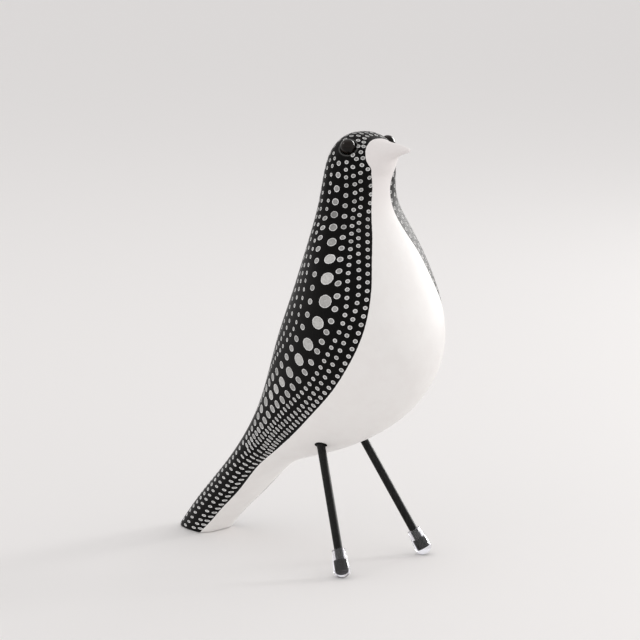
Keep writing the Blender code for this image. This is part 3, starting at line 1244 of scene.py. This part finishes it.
                # The band along the seat's lip carries the painted highlight.
                vert[lip] = math.exp(-((wall - local.z) / (self.lip_width * MM)) ** 2)
            low, high = sorted((local.z, wall))
            soft = max(0.0, blend - (high - low)) ** 2 / (4.0 * blend)
            local.z = low - soft
            vert.co = outward @ local

    def drill_hole(self, bm: bmesh.types.BMesh, foot: Foot, layer: object) -> None:
        """Cut a countersunk blind hole for a rod, and paint its lip and bore black as painted shade.

        Args:
            bm: The skin.
            foot: The leg that goes in.
            layer: The vertex layer of the paint.
        """
        rod = foot.rod
        place = rod.frame
        inward = place.inverted()
        mouth = self.hole_mouth(foot)
        bore = rod.radius + self.hole_gap * MM
        lip = bore + self.hole_flare * MM
        near = [vert for vert in bm.verts if (vert.co - mouth).length < self.hole_lips_near * lip]
        local = {vert: inward @ vert.co for vert in near}
        off = {vert: math.hypot(spot.x, spot.y) for vert, spot in local.items()}
        faces = {face for vert in near if off[vert] < lip for face in vert.link_faces
                 if all(other in off and off[other] < lip for other in face.verts)}
        bmesh.ops.delete(bm, geom=sorted(faces, key=lambda face: face.index), context="FACES")
        rim = [edge for vert in near if vert.is_valid for edge in vert.link_edges if edge.is_boundary]
        rim = list(dict.fromkeys(rim))
        # The lip is painted black as painted shade.
        for vert in {vert for edge in rim for vert in edge.verts}:
            spot = inward @ vert.co
            grow = lip / math.hypot(spot.x, spot.y)
            vert.co = place @ Vector((spot.x * grow, spot.y * grow, spot.z))
            vert[layer] = self.lip_paint
        # The bore's walls are painted black as painted shade.
        for depth in (self.hole_sink, self.hole_depth / 2, self.hole_depth):
            made = bmesh.ops.extrude_edge_only(bm, edges=rim)["geom"]
            rim = [item for item in made if isinstance(item, bmesh.types.BMEdge) and item.is_boundary]
            for vert in {vert for edge in rim for vert in edge.verts}:
                spot = inward @ vert.co
                shrink = bore / math.hypot(spot.x, spot.y)
                level = (inward @ mouth).z + depth * MM
                vert.co = place @ Vector((spot.x * shrink, spot.y * shrink, level))
                vert[layer] = self.hole_paint
        bmesh.ops.holes_fill(bm, edges=rim)

    def paint_distance(self, places: np.ndarray, turns: np.ndarray) -> np.ndarray:
        """Distance from the paint line in millimetres, positive on the black side.

        Args:
            places: Places along the body.
            turns: Turns round it in radians.

        Returns:
            One distance for each pair, exact near the line.
        """
        line = np.array(self.paint_line)
        within = np.clip(places, line[0, 0], line[-1, 0])
        beyond = np.minimum(within + NUDGE, line[-1, 0])
        level = smooth_through(line[:, 0], line[:, 1:], within)[:, 0]
        slope = (smooth_through(line[:, 0], line[:, 1:], beyond)[:, 0] - level) / NUDGE
        creep = np.where(turns > 0.0, np.interp(places, *zip(*self.left_creep)), 0.0)
        off = np.degrees(np.abs(turns)) - level + creep
        here = self.form.points(places, turns)
        along = np.linalg.norm(self.form.points(places + NUDGE, turns) - here, axis=1) / NUDGE / MM
        beside = np.linalg.norm(self.form.points(places, turns + NUDGE) - here, axis=1)
        around = beside / math.degrees(NUDGE) / MM
        steepness = np.hypot(1.0 / np.maximum(around, LEAST_STRETCH),
                             slope / np.maximum(along, LEAST_STRETCH))
        return off / steepness

    def dot_axes(self, dots: list, middles: np.ndarray) -> tuple:
        """Find which way each dot's width and length run.

        Args:
            dots: All dots.
            middles: The point of the body under each.

        Returns:
            The unit directions of the widths, and those of the lengths.
        """
        places = np.array([dot.place for dot in dots])
        turns = np.array([dot.turn for dot in dots])
        leans = np.array([dot.lean for dot in dots])[:, None]
        normals = np.cross(self.form.points(places + NUDGE, turns) - middles,
                           self.form.points(places, turns + NUDGE) - middles)
        normals /= np.linalg.norm(normals, axis=1)[:, None]
        across = np.cross(np.array([dot.onward for dot in dots]), normals)
        across /= np.linalg.norm(across, axis=1)[:, None]
        across = np.cos(leans) * across + np.sin(leans) * np.cross(normals, across)
        return across, np.cross(normals, across)

    def nearest_dots(self, mesh: bpy.types.Mesh, middles: np.ndarray, radii: np.ndarray) -> np.ndarray:
        """Find the dot whose edge is nearest to each face.

        Args:
            mesh: The finished skin.
            middles: The middle of each dot.
            radii: The radius of each dot, in metres.

        Returns:
            The number of a dot for each face.
        """
        tree = KDTree(len(middles))
        for index, middle in enumerate(middles.tolist()):
            tree.insert(middle, index)
        tree.balance()
        centres = np.empty(len(mesh.polygons) * 3)
        mesh.polygons.foreach_get("center", centres)
        chosen = np.empty(len(mesh.polygons), dtype=int)
        for face, centre in enumerate(centres.reshape(-1, 3).tolist()):
            near = tree.find_n(centre, self.dots_near)
            chosen[face] = min(near, key=lambda item: item[2] - radii[item[1]])[1]
        return chosen

    def mark_dots(self, mesh: bpy.types.Mesh) -> None:
        """Give each face the nearest dot: its radius, its shade and where the face lies on it.

        Args:
            mesh: The finished skin.
        """
        dots = [dot for row in self.rows for dot in row.dots(self.form)]
        places = np.array([dot.place for dot in dots])
        sizes = np.array([(dot.width, dot.length) for dot in dots])
        middles = self.form.points(places, np.array([dot.turn for dot in dots]))
        across, onward = self.dot_axes(dots, middles)
        radii = sizes.sum(axis=1) * MM / 4
        chosen = self.nearest_dots(mesh, middles, radii)
        totals = np.empty(len(mesh.polygons), dtype=int)
        mesh.polygons.foreach_get("loop_total", totals)
        corners = np.empty(len(mesh.loops), dtype=int)
        mesh.loops.foreach_get("vertex_index", corners)
        dot = np.repeat(chosen, totals)
        offset = mesh_positions(mesh)[corners] - middles[dot]
        spot = np.stack(((offset * across[dot]).sum(axis=1), (offset * onward[dot]).sum(axis=1)), axis=1)
        flat = np.maximum(np.linalg.norm(spot, axis=1), LEAST_LENGTH)
        spot *= (np.linalg.norm(offset, axis=1) / flat)[:, None]
        spot /= sizes[dot] * MM / 2
        layer = mesh.uv_layers.new(name="dots")
        spot = np.clip(spot, -self.widest_spot, self.widest_spot)
        layer.data.foreach_set("uv", spot.astype(np.float32).ravel())
        shades = np.random.default_rng(self.shade_seed).random(len(dots))
        for start, ease, gain in self.brighter_below:
            shades += gain * smooth_step((start - places) / ease)
        for name, values in (("dot_radius", radii / MM), ("dot_shade", shades)):
            attribute = mesh.attributes.new(name, "FLOAT", "FACE")
            attribute.data.foreach_set("value", values[chosen].astype(np.float32))
        LOG.info("%d dots on the black paint", len(dots))

    def build(self, material: bpy.types.Material) -> bpy.types.Object:
        """Model and mark the whole body.

        Args:
            material: The paint.

        Returns:
            The finished piece.
        """
        mesh = mesh_from(self.skin(), "painted_body")
        self.mark_dots(mesh)
        return finish_piece("painted_body", mesh, material, "body")


@dataclass(frozen=True)
class Lamp:
    """A square soft lamp, its place given by steps to the camera's right, away from it and up.

    One that only glints shows in reflections and lights nothing.
    """

    name: str
    place: tuple
    size: float
    power: float
    only_glints: bool = False
    tint: tuple = (1.0, 0.99, 0.975)

    def hang(self, place: Vector, target: Vector) -> None:
        """Hang the lamp.

        Args:
            place: Where it hangs.
            target: What it faces.
        """
        lamp = bpy.data.lights.new(self.name, "AREA")
        lamp.shape = "SQUARE"
        lamp.size = self.size
        lamp.energy = self.power
        lamp.color = self.tint
        thing = bpy.data.objects.new(self.name, lamp)
        thing.location = place
        thing.rotation_euler = (target - place).to_track_quat("-Z", "Y").to_euler()
        thing.visible_diffuse = not self.only_glints
        thing.visible_transmission = not self.only_glints
        bpy.context.scene.collection.objects.link(thing)


@dataclass(frozen=True)
class Studio:
    """Plain floor, soft lights and the camera at the photograph's angle."""

    azimuth: float = 41.8
    pitch: float = 8.95
    distance: float = 1.6
    aim: tuple = (0.04155, -0.02633, 0.1583)
    lens: float = 143.3
    sensor: float = 36.0
    sees_to: float = 100.0
    floor_reach: float = 20.0
    floor_cells: int = 4
    floor_gap: float = 0.00005
    room_light: float = 0.83
    wall_light: float = 1.05
    wall_height: float = 0.8
    room_tint: tuple = colour(0.90, 0.885, 0.88)
    lit_height: float = 0.12
    lamps: tuple = (
        Lamp("window on the right", (3.0, 1.3, 1.1), 0.6, 23.0),
        Lamp("ceiling", (-0.2, 0.3, 2.2), 1.6, 2.5),
        Lamp("glint", (1.45, 1.52, 0.85), 1.2, 56.0, True),
        Lamp("small glint", (-1.7, 0.13, 1.5), 0.7, 6.0, True),
    )

    def beside_camera(self, right: float, back: float, up: float) -> Vector:
        """Find a point by steps from the bird.

        Args:
            right: Step to the camera's right.
            back: Step away from the camera.
            up: Step up from the floor.

        Returns:
            The point.
        """
        turn = math.radians(self.azimuth)
        aside = Vector((math.cos(turn), math.sin(turn), 0.0))
        away = Vector((-math.sin(turn), math.cos(turn), 0.0))
        return aside * right + away * back + Vector((0.0, 0.0, up))

    def build_floor(self) -> None:
        """Lay the floor just under the bird."""
        bm = bmesh.new()
        bmesh.ops.create_grid(bm, x_segments=self.floor_cells, y_segments=self.floor_cells,
                              size=self.floor_reach)
        bmesh.ops.translate(bm, verts=bm.verts, vec=(0.0, 0.0, -self.floor_gap))
        mesh = mesh_from(bm, "floor")
        mesh.materials.append(PaleBoard().build())
        floor = bpy.data.objects.new("floor", mesh)
        bpy.context.scene.collection.objects.link(floor)

    def build_room(self) -> None:
        """Light the bird softly from all around, and a little more from the walls."""
        world = bpy.data.worlds.new("soft room")
        world.use_nodes = True
        nodes = world.node_tree.nodes
        sky = nodes["Background"]
        where = nodes.new("ShaderNodeTexCoord")
        parts = nodes.new("ShaderNodeSeparateXYZ")
        fall = nodes.new("ShaderNodeMapRange")
        fall.inputs["From Max"].default_value = self.wall_height
        fall.inputs["To Min"].default_value = self.wall_light
        fall.inputs["To Max"].default_value = self.room_light
        sky.inputs["Color"].default_value = self.room_tint
        world.node_tree.links.new(where.outputs["Generated"], parts.inputs[0])
        world.node_tree.links.new(parts.outputs["Z"], fall.inputs["Value"])
        world.node_tree.links.new(fall.outputs[0], sky.inputs["Strength"])
        bpy.context.scene.world = world

    def build_camera(self) -> None:
        """Set up the camera that matches the photograph."""
        lens = bpy.data.cameras.new("camera")
        lens.lens = self.lens
        lens.sensor_width = self.sensor
        lens.clip_end = self.sees_to
        camera = bpy.data.objects.new("camera", lens)
        turn = math.radians(self.azimuth)
        fall = math.radians(self.pitch)
        back = Vector((math.sin(turn) * math.cos(fall), -math.cos(turn) * math.cos(fall), math.sin(fall)))
        camera.location = Vector(self.aim) + back * self.distance
        camera.rotation_euler = back.to_track_quat("Z", "Y").to_euler()
        bpy.context.scene.collection.objects.link(camera)
        bpy.context.scene.camera = camera
        bpy.context.scene.view_settings.view_transform = "Standard"

    def build(self) -> None:
        """Make the whole studio."""
        self.build_camera()
        self.build_floor()
        self.build_room()
        for lamp in self.lamps:
            lamp.hang(self.beside_camera(*lamp.place), Vector((0.0, 0.0, self.lit_height)))


def main() -> None:
    """Build the bird's pieces and the studio."""
    logging.basicConfig(level=logging.INFO)
    beads = tuple(Bead(side) for side in Side)
    feet = tuple(Foot(side) for side in Side)
    BirdBody(BodyForm(), beads, feet).build(PaintedResin().build())
    bead_finish = GlossBead().build()
    for bead in beads:
        bead.build(bead_finish)
    rod_finish = LacqueredSteel().build()
    cap_finish = ClearPlastic().build()
    for foot in feet:
        foot.build_rod(rod_finish)
        foot.build_cap(cap_finish)
    Studio().build()


if __name__ == "__main__":
    main()
